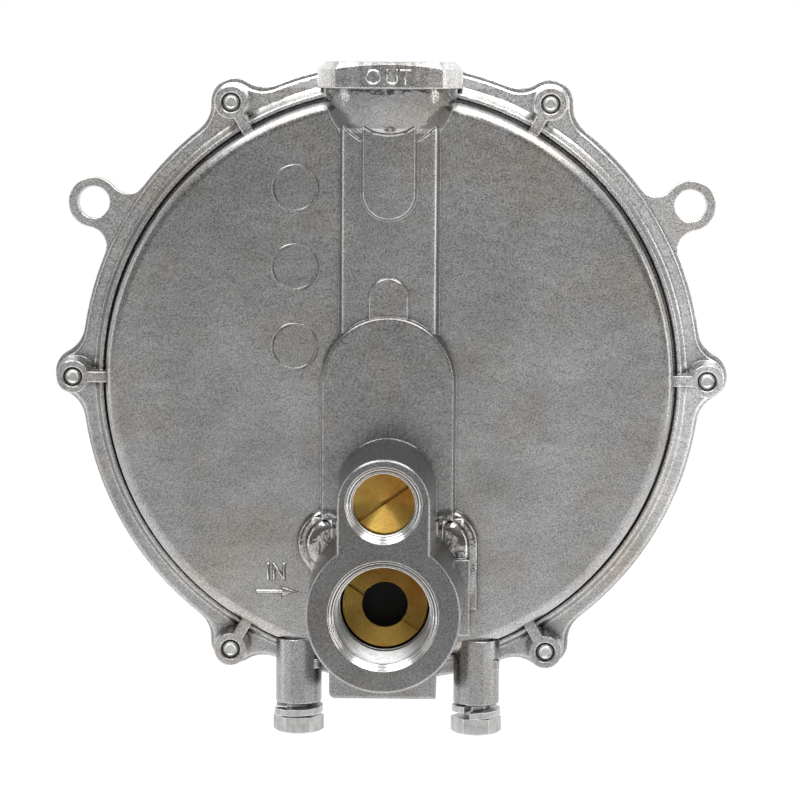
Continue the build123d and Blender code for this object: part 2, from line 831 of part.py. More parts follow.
def valve_lever():
    """Pressed lever with two ears for its pivot pin."""
    arm = block(-lever_half, lever_half, lever_foot_y, lever_top_y, lever_z, lever_z + lever_t)
    tips = arm.edges().filter_by(Axis.Z)
    arm = fillet(tips, lever_half - lever_tip_flat)
    ear_plan = Pos(lever_pivot_y, lever_pivot_z) * Circle(lever_ear_r)
    ear_middle = Pos(lever_pivot_y, (lever_z + lever_pivot_z) / 2)
    ear_plan += ear_middle * Rectangle(2 * lever_ear_r, lever_pivot_z - lever_z)
    for x in (-lever_half, lever_half - lever_ear_t):
        arm += extrude(Plane(origin=(x, 0, 0), x_dir=(0, 1, 0), z_dir=(1, 0, 0)) * ear_plan, lever_ear_t)
    bore = Pos(0, lever_pivot_y, lever_pivot_z) * Rot(0, 90, 0) * Cylinder(pin_r + pin_running_gap, far)
    stem_hole = disc(holder_stem_r, 0, far, y=inlet_y)
    return arm - bore - stem_hole


def valve_disc_holder():
    """Brass cup that carries the rubber disc, riveted through the lever."""
    disc_rear = orifice_seat_z - disc_seat_gap - disc_t
    cup = turned(
        [
            (0, disc_rear - holder_t),
            (holder_lip_r, disc_rear - holder_t),
            (holder_lip_r, disc_rear + holder_lip_h),
            (disc_r, disc_rear + holder_lip_h),
            (disc_r, disc_rear),
            (0, disc_rear),
        ]
    )
    cup += disc(holder_post_r, lever_z + lever_t, disc_rear - holder_t)
    cup += disc(holder_stem_r, lever_z, lever_z + lever_t)
    cup += cone(holder_rivet_tip_r, holder_rivet_r, lever_z - holder_rivet_h, lever_z)
    return Pos(0, inlet_y, 0) * cup


def valve_disc():
    """Rubber disc that closes the orifice jet."""
    high = orifice_seat_z - disc_seat_gap
    return disc(disc_r, high - disc_t, high, y=inlet_y)


def lever_pivot_pin():
    """Steel pin across the two saddles."""
    pin = Rot(0, 90, 0) * Cylinder(pin_r, 2 * pin_half)
    pin = chamfer(pin.edges().filter_by(GeomType.CIRCLE), pin_chamfer)
    return Pos(0, lever_pivot_y, lever_pivot_z) * pin


def pivot_pin_screws():
    """Two small screws whose heads trap the pivot pin."""
    seat = lever_pivot_z - pin_r - stack_gap
    screws = []
    for side in (-1, 1):
        shank = disc(pin_screw_r, seat, seat + pin_screw_length - pin_screw_hole_spare)
        head = disc(pin_screw_head_r, seat - pin_screw_head_h, seat)
        head = fillet(top_edges(head, seat - pin_screw_head_h), pin_screw_head_round)
        slot_z = seat - pin_screw_head_h
        slot_half_w = pin_screw_slot_w / 2
        slot = block(-far, far, -slot_half_w, slot_half_w, slot_z, slot_z + pin_screw_slot_depth)
        x, y = pin_screw_place(side)
        screws.append(Pos(x, y, 0) * (shank + head - slot))
    return screws


def diaphragm():
    """Rubber membrane with one rolling convolution, clamped at its rim."""
    crest = convolution_r
    bore_r = rivet_stem_r + rivet_bore_gap
    t = diaphragm_t
    mid = convolution_mid_r
    outer = Polyline((bore_r, t), (bore_r, 0), (mid - crest, 0))
    low = ThreePointArc((mid - crest, 0), (mid, -crest), (mid + crest, 0))
    rim = Polyline((mid + crest, 0), (diaphragm_r, 0), (diaphragm_r, t), (mid + crest - t, t))
    high = ThreePointArc((mid + crest - t, t), (mid, -crest + 2 * t), (mid - crest + t, t))
    close = Line((mid - crest + t, t), (bore_r, t))
    return revolve(Plane.XZ * make_face(outer + low + rim + high + close), Axis.Z)


def dished_plate(radius, z_low, direction):
    """Pressed plate with a turned-up rim, facing forward (+1) or rearward (-1)."""
    z_high = z_low + plate_t
    face_z, back_z = (z_high, z_low) if direction > 0 else (z_low, z_high)
    lip = face_z + direction * plate_lip_h
    bore_r = rivet_stem_r + rivet_bore_gap
    points = [
        (bore_r, back_z),
        (radius - plate_t, back_z),
        (radius, lip),
        (radius - plate_t, lip),
        (radius - 2 * plate_t, face_z),
        (bore_r, face_z),
    ]
    return turned(points)


def diaphragm_rivet():
    """Centre rivet that clamps the plates and meets the lever and the primer."""
    front_seat = diaphragm_t + plate_t + 2 * stack_gap
    return turned(
        [
            (0, rivet_end_z),
            (rivet_rear_r, rivet_end_z),
            (rivet_rear_r, rear_plate_z - stack_gap),
            (rivet_stem_r, rear_plate_z - stack_gap),
            (rivet_stem_r, front_seat),
            (rivet_head_r, front_seat),
            (rivet_head_r, front_seat + rivet_head_h),
            (rivet_nose_r, front_seat + rivet_head_h + rivet_nose_cone),
            (rivet_nose_r, rivet_tip_z),
            (0, rivet_tip_z),
        ],
        [(rivet_nose_r, rivet_tip_z, rivet_nose_round)],
    )


def primer_button():
    """Push button in the rear cover."""
    cap_inner_z = primer_boss_z + primer_cap_sunk
    cap_outer_z = cap_inner_z - primer_cap_h
    tip_z = rivet_end_z - primer_tip_gap
    clip_low = primer_sleeve_z + primer_clip_play
    clip_high = clip_low + primer_clip_t + 2 * primer_clip_play
    groove_r_in = primer_stem_r - primer_clip_groove
    return turned(
        [
            (0, cap_outer_z),
            (primer_cap_r, cap_outer_z),
            (primer_cap_r, cap_inner_z),
            (primer_stem_r, cap_inner_z),
            (primer_stem_r, clip_low),
            (groove_r_in, clip_low),
            (groove_r_in, clip_high),
            (primer_stem_r, clip_high),
            (primer_stem_r, tip_z),
            (0, tip_z),
        ],
        [(primer_cap_r, cap_outer_z, primer_cap_round), (primer_stem_r, tip_z, primer_stem_round)],
    )


def primer_retaining_ring():
    """Open clip in the groove of the primer stem."""
    low = primer_sleeve_z + 2 * primer_clip_play
    bore = disc(primer_stem_r - primer_clip_groove + stack_gap, -far, 0)
    mouth = block(-primer_clip_gap_w / 2, primer_clip_gap_w / 2, 0, far, -far, 0)
    return disc(primer_clip_r, low, low + primer_clip_t) - bore - mouth


def primer_spring():
    """Return spring under the cap of the primer button."""
    low = primer_boss_z + primer_cap_sunk + primer_spring_gap
    high = primer_floor_z - primer_spring_gap
    return coil(primer_spring_r, primer_spring_wire_r, low, high, primer_spring_turns)


def group(solids):
    """Separate solids that share one node."""
    return Compound(children=[solid if isinstance(solid, Solid) else solid.solid() for solid in solids])


def parts():
    """Every sub-part under its node name."""
    return {
        "body_casting": body_casting(),
        "rear_cover": rear_cover(),
        "cover_screws": group(cover_screws()),
        "bracket_bolts": group(bracket_bolts()),
        "lock_washers": group(lock_washers()),
        "inlet_orifice": inlet_orifice(),
        "orifice_o_ring": orifice_o_ring(),
        "adjusting_screw": adjusting_screw(),
        "adjusting_screw_o_ring": adjusting_screw_o_ring(),
        "lever_spring": lever_spring(),
        "valve_lever": valve_lever(),
        "valve_disc_holder": valve_disc_holder(),
        "valve_disc": valve_disc(),
        "lever_pivot_pin": lever_pivot_pin(),
        "pivot_pin_screws": group(pivot_pin_screws()),
        "diaphragm": diaphragm(),
        "diaphragm_front_plate": dished_plate(front_plate_r, diaphragm_t + stack_gap, 1),
        "diaphragm_rear_plate": dished_plate(rear_plate_r, rear_plate_z, -1),
        "diaphragm_rivet": diaphragm_rivet(),
        "primer_button": primer_button(),
        "primer_retaining_ring": primer_retaining_ring(),
        "primer_spring": primer_spring(),
    }


def main():
    """Turn each sub-part into the row frame and write it."""
    os.makedirs("parts", exist_ok=True)
    to_row = Pos(0, -lug_t, -lug_y) * Rot(90, 0, 0)
    for name, shape in parts().items():
        export_step(to_row * shape, f"parts/{name}.step")


main()
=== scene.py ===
"""Low pressure gas regulator: finishes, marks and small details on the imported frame.

Design coordinates, in millimetres, are X to the right, Y up and Z forward, with
zero on the diaphragm's axis at the face between body and cover. Every piece is
modelled in them and then moved into the row frame, in metres.
"""

import logging
import math
from collections.abc import Sequence
from dataclasses import dataclass, field
from enum import Enum
from typing import Any

import bmesh
import bpy
from mathutils import Matrix, Vector


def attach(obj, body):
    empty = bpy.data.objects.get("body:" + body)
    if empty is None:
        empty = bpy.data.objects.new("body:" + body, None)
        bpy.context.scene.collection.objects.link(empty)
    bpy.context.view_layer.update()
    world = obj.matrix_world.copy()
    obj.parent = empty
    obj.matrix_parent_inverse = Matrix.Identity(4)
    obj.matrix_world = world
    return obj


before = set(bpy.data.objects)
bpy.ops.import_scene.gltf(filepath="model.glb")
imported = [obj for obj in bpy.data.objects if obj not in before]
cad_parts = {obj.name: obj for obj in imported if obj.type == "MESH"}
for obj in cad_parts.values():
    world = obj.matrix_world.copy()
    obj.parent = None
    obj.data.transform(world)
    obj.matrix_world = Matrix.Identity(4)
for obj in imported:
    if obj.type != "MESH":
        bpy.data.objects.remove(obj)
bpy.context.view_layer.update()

LOG = logging.getLogger("regulator")

MM = 0.001
FLANGE_T = 4.5
LUG_Y = 43.553
PLATE_Z = 18.5
FRONT_Z = 61.0
INLET_Y = -52.7
SCREW_Y = -26.05
OUTLET_Z = 14.6
MARK_SHARP_DEG = 50.0
PROBE_RAYS = 6
WELD_M = 1e-7
TO_ROW = (
    Matrix.Scale(MM, 4)
    @ Matrix.Translation((0.0, -FLANGE_T, -LUG_Y))
    @ Matrix.Rotation(math.radians(90.0), 4, "X")
)

Pair = tuple[float, float]
Triple = tuple[float, float, float]
Colour = tuple[float, float, float]
BMesh = bmesh.types.BMesh
Material = bpy.types.Material


class Body(Enum):
    """Rigid bodies of the record that new pieces ride on."""

    BASE = "base"


class Slot(Enum):
    """Material slots of the record."""

    BODY = "cast_body"
    SCREW = "screw_steel"


# Shader expressions


class Value:
    """A shader socket that can be used in Python arithmetic."""

    def __init__(self, nodes: "Nodes", socket: Any) -> None:
        """Wrap a socket.

        Args:
            nodes: Node tree that the socket belongs to.
            socket: Output socket of a node.
        """
        self.nodes = nodes
        self.socket = socket

    def _math(self, operation: str, *terms: Any) -> "Value":
        """Add a Math node for an operation on these terms."""
        return self.nodes.add("ShaderNodeMath", {"operation": operation}, dict(enumerate(terms)))

    def __add__(self, other: Any) -> "Value":
        """Sum."""
        return self._math("ADD", self, other)

    __radd__ = __add__

    def __sub__(self, other: Any) -> "Value":
        """Difference."""
        return self._math("SUBTRACT", self, other)

    def __rsub__(self, other: Any) -> "Value":
        """Difference from a plain number."""
        return self._math("SUBTRACT", other, self)

    def __mul__(self, other: Any) -> "Value":
        """Product."""
        return self._math("MULTIPLY", self, other)

    __rmul__ = __mul__

    def __gt__(self, other: Any) -> "Value":
        """One where greater, zero elsewhere."""
        return self._math("GREATER_THAN", self, other)

    def __lt__(self, other: Any) -> "Value":
        """One where less, zero elsewhere."""
        return self._math("LESS_THAN", self, other)

    def __abs__(self) -> "Value":
        """Size without its sign."""
        return self._math("ABSOLUTE", self)

    def higher(self, other: Any) -> "Value":
        """The higher of two numbers."""
        return self._math("MAXIMUM", self, other)

    def sine(self) -> "Value":
        """Sine of an angle in radians."""
        return self._math("SINE", self)

    def root(self) -> "Value":
        """Square root."""
        return self._math("SQRT", self)

    def ramp(self, low: float, high: float, smooth: bool = True) -> "Value":
        """Rise from zero at one value to one at another, level beyond both.

        Args:
            low: Value at which it is zero.
            high: Value at which it is one.
            smooth: Whether it starts and ends gently.

        Returns:
            Share between zero and one.
        """
        settings = {"interpolation_type": "SMOOTHSTEP" if smooth else "LINEAR"}
        values = {"Value": self, "From Min": low, "From Max": high, "To Min": 0.0, "To Max": 1.0}
        return self.nodes.add("ShaderNodeMapRange", settings, values, "Result")


def distance(*offsets: Value) -> Value:
    """Length of a vector.

    Args:
        offsets: Its parts.

    Returns:
        Root of the sum of their squares.
    """
    total = offsets[0] * offsets[0]
    for part in offsets[1:]:
        total = total + part * part
    return total.root()


@dataclass(frozen=True)
class Cloud:
    """Cloud noise, with the part of its range that is spread over zero to one."""

    size_mm: float
    detail: float
    rough: float
    span: Pair | None = None


class Nodes:
    """A node tree whose nodes all come from one method."""

    def __init__(self, tree: Any) -> None:
        """Take a node tree and empty it.

        Args:
            tree: Node tree of a material or world.
        """
        self.tree = tree
        self.tree.nodes.clear()

    def node(self, kind: str, settings: dict[str, Any], values: dict[Any, Any]) -> Any:
        """Add any node.

        Args:
            kind: Blender's name of the node type.
            settings: Properties that are set first. A key "stops" fills a colour ramp.
            values: Socket name or number, and the number, colour or Value that goes in.

        Returns:
            The node.
        """
        node = self.tree.nodes.new(kind)
        for key, setting in settings.items():
            if key == "stops":
                ramp = node.color_ramp
                while len(ramp.elements) < len(setting):
                    ramp.elements.new(0.5)
                for element, (place, colour) in zip(ramp.elements, setting):
                    element.position = place
                    element.color = (*colour, 1.0)
            else:
                setattr(node, key, setting)
        for key, value in values.items():
            self.feed(node.inputs[key], value)
        return node

    def add(self, kind: str, settings: dict[str, Any], values: dict[Any, Any], result: Any = 0) -> Value:
        """Add any node and return the output of this name or number."""
        return Value(self, self.node(kind, settings, values).outputs[result])

    def feed(self, socket: Any, value: Any) -> None:
        """Link a Value to a socket, or set a constant on it.

        Args:
            socket: Input socket.
            value: Value, number, vector or colour.
        """
        if isinstance(value, Value):
            self.tree.links.new(value.socket, socket)
        elif isinstance(value, tuple) and len(value) == 3 and len(socket.default_value) == 4:
            socket.default_value = (*value, 1.0)
        else:
            socket.default_value = value

    def split(self, vector: Value) -> tuple[Value, Value, Value]:
        """X, Y and Z of a point or direction."""
        x, y, z = self.node("ShaderNodeSeparateXYZ", {}, {0: vector}).outputs
        return Value(self, x), Value(self, y), Value(self, z)

    def mix(self, factor: Any, first: Any, second: Any) -> Value:
        """Blend of two colours, which is the second one where the factor is one."""
        return self.add("ShaderNodeMix", {"data_type": "RGBA"}, {0: factor, 6: first, 7: second}, 2)

    def rays(self, *kinds: str) -> Value:
        """One for rays of any of these kinds, zero for the others.

        Args:
            kinds: Names of outputs of the Light Path node.

        Returns:
            The mask.
        """
        outputs = self.node("ShaderNodeLightPath", {}, {}).outputs
        total = Value(self, outputs[kinds[0]])
        for kind in kinds[1:]:
            total = total.higher(Value(self, outputs[kind]))
        return total

    def sharp_rays(self) -> Value:
        """One for camera, glossy and transmission rays."""
        return self.rays("Is Camera Ray", "Is Glossy Ray", "Is Transmission Ray")


class Graph(Nodes):
    """Node tree of one material."""

    def __init__(self, name: str) -> None:
        """Start an empty material.

        Args:
            name: Name of the material.
        """
        self.material = bpy.data.materials.new(name)
        self.material.use_nodes = True
        super().__init__(self.material.node_tree)

    def place(self) -> Value:
        """Object coordinates in metres."""
        return self.add("ShaderNodeTexCoord", {}, {}, "Object")

    def millimetres(self, place: Value) -> tuple[Value, Value, Value]:
        """Design coordinates in millimetres of a point in the row frame."""
        x, y, z = self.split(place)
        return x * (1.0 / MM), z * (1.0 / MM) + LUG_Y, y * (-1.0 / MM) - FLANGE_T

    def noise(self, place: Value, cloud: Cloud) -> Value:
        """Cloud noise between zero and one.

        Args:
            place: Point at which it is looked up, in metres.
            cloud: Its size and look.

        Returns:
            The noise, spread over its span if it has one.
        """
        scale = 1.0 / (cloud.size_mm * MM)
        values = {"Vector": place, "Scale": scale, "Detail": cloud.detail, "Roughness": cloud.rough}
        plain = self.add("ShaderNodeTexNoise", {}, values, "Fac")
        return plain.ramp(*cloud.span) if cloud.span else plain

    def stretch(self, place: Value, shares: Triple) -> Value:
        """Point with its coordinates multiplied by three shares."""
        return self.add("ShaderNodeVectorMath", {"operation": "MULTIPLY"}, {0: place, 1: shares})

    def scaled(self, colour: Any, factor: Value) -> Value:
        """Colour multiplied by a number."""
        grey = self.add("ShaderNodeCombineXYZ", {}, {0: factor, 1: factor, 2: factor})
        return self.add("ShaderNodeVectorMath", {"operation": "MULTIPLY"}, {0: colour, 1: grey})

    def rounded(self, radius_mm: float) -> Value:
        """Normal of the surface with its edges rounded to a radius."""
        return self.add("ShaderNodeBevel", {"samples": PROBE_RAYS}, {"Radius": radius_mm * MM})

    def bump(self, height: Value, distance_mm: float, edge_mm: float = 0.0) -> Value:
        """Normal from a relief, with softened edges.

        Args:
            height: Relief between zero and one.
            distance_mm: Depth that one stands for.
            edge_mm: Radius of the softened edges, or zero for crisp ones.

        Returns:
            Normal for the shader.
        """
        values: dict[Any, Any] = {"Distance": distance_mm * MM, "Height": height}
        if edge_mm > 0.0:
            values["Normal"] = self.rounded(edge_mm)
        return self.add("ShaderNodeBump", {}, values)

    def edge(self, radius_mm: float) -> Value:
        """Mask of the edges.

        Args:
            radius_mm: How far an edge reaches.

        Returns:
            Zero on flat ground, rising to about 0.3 on a square edge.
        """
        crisp = self.add("ShaderNodeNewGeometry", {}, {}, "Normal")
        values = {0: self.rounded(radius_mm), 1: crisp}
        return 1.0 - self.add("ShaderNodeVectorMath", {"operation": "DOT_PRODUCT"}, values, "Value")

    def open_share(self, reach_mm: float) -> Value:
        """One on open ground, falling towards zero in a corner that faces other metal."""
        values = {"Distance": reach_mm * MM}
        return self.add("ShaderNodeAmbientOcclusion", {"samples": PROBE_RAYS}, values, "AO")

    def surface(self, **sockets: Any) -> Value:
        """Principled shader.

        Args:
            sockets: Its sockets, with underscores for the spaces in their names.

        Returns:
            Its output.
        """
        values = {key.replace("_", " "): value for key, value in sockets.items()}
        return self.add("ShaderNodeBsdfPrincipled", {}, values)

    def finish(self, **sockets: Any) -> Material:
        """Show a Principled shader with these sockets and return the material."""
        self.node("ShaderNodeOutputMaterial", {}, {"Surface": self.surface(**sockets)})
        return self.material


# Finishes


@dataclass
class Skin:
    """Tone, roughness and relief of a casting while its finish is worked out."""

    tone: Value
    rough: Value
    height: Value


@dataclass(frozen=True)
class CastAluminium:
    """Die-cast aluminium, with a painted highlight on its edges, partly the tumbled polish, and painted
    shade in its corners.
    """

    name: str
    colour: Colour = (0.47, 0.47, 0.468)
    warm: Colour = (0.455, 0.425, 0.395)
    bright: Colour = (0.86, 0.86, 0.86)
    roughness: float = 0.27
    edge_mm: float = 0.45
    grain: Cloud = Cloud(0.42, detail=3.0, rough=0.7, span=(0.3, 0.7))
    speck: Cloud = Cloud(0.32, detail=1.0, rough=0.5, span=(0.25, 0.75))
    mottle: Cloud = Cloud(11.0, detail=3.0, rough=0.5)
    dimple: Cloud = Cloud(3.2, detail=2.0, rough=0.5)
    patch: Cloud = Cloud(34.0, detail=2.0, rough=0.5, span=(0.35, 0.65))
    stain: Cloud = Cloud(26.0, detail=3.0, rough=0.6, span=(0.45, 0.7))
    base_tone: float = 0.2
    grain_tone: float = 0.38
    speck_tone: float = 0.4
    mottle_tone: float = 0.36
    patch_base: float = 0.91
    patch_tone: float = 0.16
    painted_side_span: Pair = (-20.0, 100.0)
    painted_side_light: float = 0.2
    rim_span: Pair = (71.0, 73.5)
    rim_top_z: float = 16.0
    rim_painted_light: float = 0.1
    rim_painted_light_slant: float = 0.5
    rim_painted_light_span: Pair = (-60.0, 50.0)
    rim_top_painted_light: float = 0.7
    grain_rough: float = 0.12
    mottle_polish: float = 0.08
    grain_height: float = 0.12
    dimple_height: float = 1.3
    relief_mm: float = 0.05
    edge_span: Pair = (0.02, 0.16)
    painted_edge_highlight: float = 0.75
    edge_polish: float = 0.12
    crevice_mm: float = 1.3
    crevice_span: Pair = (0.35, 0.85)
    crevice_painted_shade: float = 0.35

    def cast_skin(self, graph: Graph, place: Value) -> Skin:
        """Grain, mottling and dimples of the casting as it leaves the tumbler, with painted light on it.

        Args:
            graph: Graph of the material.
            place: Object coordinates.

        Returns:
            Skin, with painted light towards the upper right and on the flange outside the drum, most of all
            towards its top.
        """
        x, y, z = graph.millimetres(place)
        grain = graph.noise(place, self.grain)
        mottle = graph.noise(place, self.mottle)
        tone = self.base_tone + grain * self.grain_tone + mottle * self.mottle_tone
        tone = tone + graph.noise(place, self.speck) * self.speck_tone
        patch = graph.noise(place, self.patch)
        # Painted light: the casting grows lighter towards its upper right.
        corner = (x + y).ramp(*self.painted_side_span)
        tone = tone * (self.patch_base + patch * self.patch_tone + corner * self.painted_side_light)
        # Painted light: the flange outside the drum is lighter, most of all towards its top.
        rim = distance(x, y).ramp(*self.rim_span) * (z < self.rim_top_z)
        light = (y + x * self.rim_painted_light_slant).ramp(*self.rim_painted_light_span)
        tone = tone * (1.0 + rim * (self.rim_painted_light + light * self.rim_top_painted_light))
        return Skin(
            tone=tone,
            rough=self.roughness + grain * self.grain_rough - mottle * self.mottle_polish,
            height=grain * self.grain_height + graph.noise(place, self.dimple) * self.dimple_height,
        )

    def worked(self, graph: Graph, place: Value, skin: Skin) -> Skin:
        """Skin after machining, which a plain casting hasn't had."""
        return skin

    def material(self) -> Material:
        """Build the material.

        Returns:
            Material in which grain, mottling and tool marks follow the place on the casting.
        """
        graph = Graph(self.name)
        place = graph.place()
        skin = self.worked(graph, place, self.cast_skin(graph, place))
        shade = graph.mix(graph.noise(place, self.stain), self.colour, self.warm)
        shade = graph.scaled(shade, skin.tone)
        rough = skin.rough
        # Painted shade: the colour darkens in corners that face other metal.
        clear = graph.open_share(self.crevice_mm).ramp(*self.crevice_span)
        if self.edge_mm > 0.0:
            # Painted highlight on the edges, partly the tumbled polish.
            edge = graph.edge(self.edge_mm).ramp(*self.edge_span) * clear
            shade = graph.mix(edge * self.painted_edge_highlight, shade, self.bright)
            rough = rough - edge * self.edge_polish
        return graph.finish(
            Base_Color=graph.scaled(shade, self.crevice_painted_shade + clear * (1.0 - self.crevice_painted_shade)),
            Metallic=1.0,
            Roughness=rough,
            Normal=graph.bump(skin.height, self.relief_mm, self.edge_mm),
        )


@dataclass(frozen=True)
class MachinedCasting(CastAluminium):
    """Front body: turned ports, a faced front, glossy dome and lobes, a streaked collar with painted light
    on its ends.
    """

    slack: float = 0.05
    port_r: float = 13.6
    tapped_r: float = 9.5
    bore_floor_z: float = 36.0
    outlet_floor_y: float = 62.0
    turned_tone: float = 1.5
    turned_polish: float = 0.4
    groove_phase_per_mm: float = 9.0
    groove_tone: float = 0.15
    groove_height: float = 0.5
    front_dulling: float = 0.38
    front_rough: float = 0.03
    pad_foot: float = 1.0
    pad_top_y: float = 16.0
    pad_dulling: float = 0.15
    dome_y: float = 72.8
    dome_span: Pair = (16.9, 17.4)
    dome_dulling: float = 0.62
    lobe_x: float = 15.0
    lobe_y: float = -45.0
    lobe_squash: float = 0.35
    lobe_span: Pair = (7.0, 8.5)
    lobe_top_z: float = 27.0
    gloss_foot: float = 0.2
    gloss_tone: float = 0.2
    gloss_polish: float = 0.55
    wave: Cloud = Cloud(5.0, detail=3.0, rough=0.55)
    wave_height: float = 7.0
    collar_y: float = 73.0
    collar_tone: float = -0.1
    collar_end_span: Pair = (11.0, 15.0)
    collar_end_painted_light: float = 0.8
    streak: Cloud = Cloud(2.4, detail=3.0, rough=0.6, span=(0.3, 0.7))
    streak_stretch: Triple = (1.0, 0.3, 0.08)
    streak_tone: float = 0.6

    def front_bores(self, x: Value, y: Value, z: Value) -> Value:
        """One inside the inlet and the tapped bore, zero elsewhere."""
        inside = (distance(x, y - INLET_Y) < self.port_r) + (distance(x, y - SCREW_Y) < self.tapped_r)
        return inside * (z > self.bore_floor_z)

    def outlet_bore(self, x: Value, y: Value, z: Value) -> Value:
        """One inside the outlet, zero elsewhere."""
        return (distance(x, z - OUTLET_Z) < self.port_r) * (y > self.outlet_floor_y)

    def dome(self, x: Value, y: Value, z: Value) -> Value:
        """One on the ball under the outlet collar, zero elsewhere."""
        return 1.0 - distance(x, y - self.dome_y, z - OUTLET_Z).ramp(*self.dome_span)

    def lobes(self, x: Value, y: Value, z: Value) -> Value:
        """Mask of the two lobes beside the inlet.

        Args:
            x: Place across.
            y: Place upwards.
            z: Place forwards.

        Returns:
            One on the lobes, zero elsewhere.
        """
        aside = abs(x) - self.lobe_x
        drop = y - self.lobe_y
        off = (aside * aside + drop * drop * self.lobe_squash).root()
        return (1.0 - off.ramp(*self.lobe_span)) * (z < self.lobe_top_z)

    def streaks(self, graph: Graph, place: Value, x: Value) -> Value:
        """Upright streaks and painted light on the ends of the outlet collar.

        Args:
            graph: Graph of the material.
            place: Object coordinates.
            x: Place across in millimetres.

        Returns:
            Share by which the tone rises.
        """
        streak = graph.noise(graph.stretch(place, self.streak_stretch), self.streak)
        # Painted light: the collar's rounded ends are lighter.
        ends = abs(x).ramp(*self.collar_end_span)
        return streak * self.streak_tone + ends * self.collar_end_painted_light + self.collar_tone

    def worked(self, graph: Graph, place: Value, skin: Skin) -> Skin:
        """Skin after boring and facing.

        Args:
            graph: Graph of the material.
            place: Object coordinates.
            skin: Skin as cast.

        Returns:
            Skin with the machined, glossy and streaked places, and painted light on the ends of the collar.
        """
        x, y, z = graph.millimetres(place)
        front = z > FRONT_Z - self.slack
        outlet = self.outlet_bore(x, y, z)
        turned = (self.front_bores(x, y, z) * (1.0 - front) + outlet).ramp(0.0, 1.0)
        grooves = (z * self.groove_phase_per_mm).sine() * 0.5 + 0.5
        dome = self.dome(x, y, z)
        gloss = (dome + self.lobes(x, y, z)).ramp(0.0, 1.0) * (z > PLATE_Z + self.gloss_foot)
        waves = graph.noise(place, self.wave)
        raised = (z > PLATE_Z + self.pad_foot) * (y < self.pad_top_y)
        collar = (y > self.collar_y) * (1.0 - outlet)
        tone = skin.tone * (1.0 - turned) * (1.0 - front * self.front_dulling)
        tone = tone + turned * (self.turned_tone + grooves * self.groove_tone)
        tone = tone * (1.0 - raised * self.pad_dulling)
        tone = tone * (1.0 + gloss * (self.gloss_tone - dome * self.dome_dulling))
        tone = tone * (1.0 + collar * self.streaks(graph, place, x))
        rough = skin.rough * (1.0 - turned * self.turned_polish) * (1.0 - gloss * self.gloss_polish)
        height = skin.height * (1.0 - gloss) + gloss * waves * self.wave_height
        return Skin(
            tone=tone,
            rough=rough + front * self.front_rough,
            height=height * (1.0 - turned) + turned * grooves * self.groove_height,
        )


@dataclass(frozen=True)
class TurnedBrass:
    """Brass with fine turning rings about one axis, a patina, painted shade towards its upper right and a
    painted sheen towards its bottom.
    """

    name: str
    centre_y: float
    colour: Colour = (0.5, 0.33, 0.08)
    dark: Colour = (0.38, 0.15, 0.028)
    roughness: float = 0.24
    ring_mm: float = 0.34
    ring_depth_mm: float = 0.09
    ring_tone: float = 0.14
    wobble: Cloud = Cloud(2.5, detail=2.0, rough=0.5)
    wobble_phase: float = 0.8
    patina: Cloud = Cloud(5.0, detail=3.0, rough=0.6)
    patina_span: Pair = (0.42, 0.7)
    patina_share: float = 0.5
    patina_rough: float = 0.1
    painted_side_span: Pair = (-8.0, 12.0)
    grain: Cloud = Cloud(0.45, detail=3.0, rough=0.7)
    grain_tone: float = 0.42
    base_tone: float = 0.7
    top_tone: float = 0.74
    painted_sheen_span: Pair = (-8.0, 8.0)
    painted_sheen_tone: float = 0.85

    def material(self) -> Material:
        """Build the material.

        Returns:
            Brass whose rings and tint follow the place about the axis.
        """
        graph = Graph(self.name)
        place = graph.place()
        x, y, _ = graph.millimetres(place)
        over = y - self.centre_y
        wobble = graph.noise(place, self.wobble) * self.wobble_phase
        rings = (distance(x, over) * (2.0 * math.pi / self.ring_mm) + wobble).sine() * 0.5 + 0.5
        patina = graph.noise(place, self.patina)
        # Painted shade: darker and browner towards the upper right, mixed with the random patina.
        corner = (x + over).ramp(*self.painted_side_span)
        tarnish_and_shade = patina.ramp(*self.patina_span) * self.patina_share + corner * (1.0 - self.patina_share)
        # Painted sheen: lighter towards the bottom.
        painted_sheen = 1.0 - over.ramp(*self.painted_sheen_span)
        tone = self.base_tone + rings * self.ring_tone + graph.noise(place, self.grain) * self.grain_tone
        tone = tone * (self.top_tone + painted_sheen * self.painted_sheen_tone)
        return graph.finish(
            Base_Color=graph.scaled(graph.mix(tarnish_and_shade, self.colour, self.dark), tone),
            Metallic=1.0,
            Roughness=self.roughness + patina * self.patina_rough,
            Normal=graph.bump(rings, self.ring_depth_mm),
        )


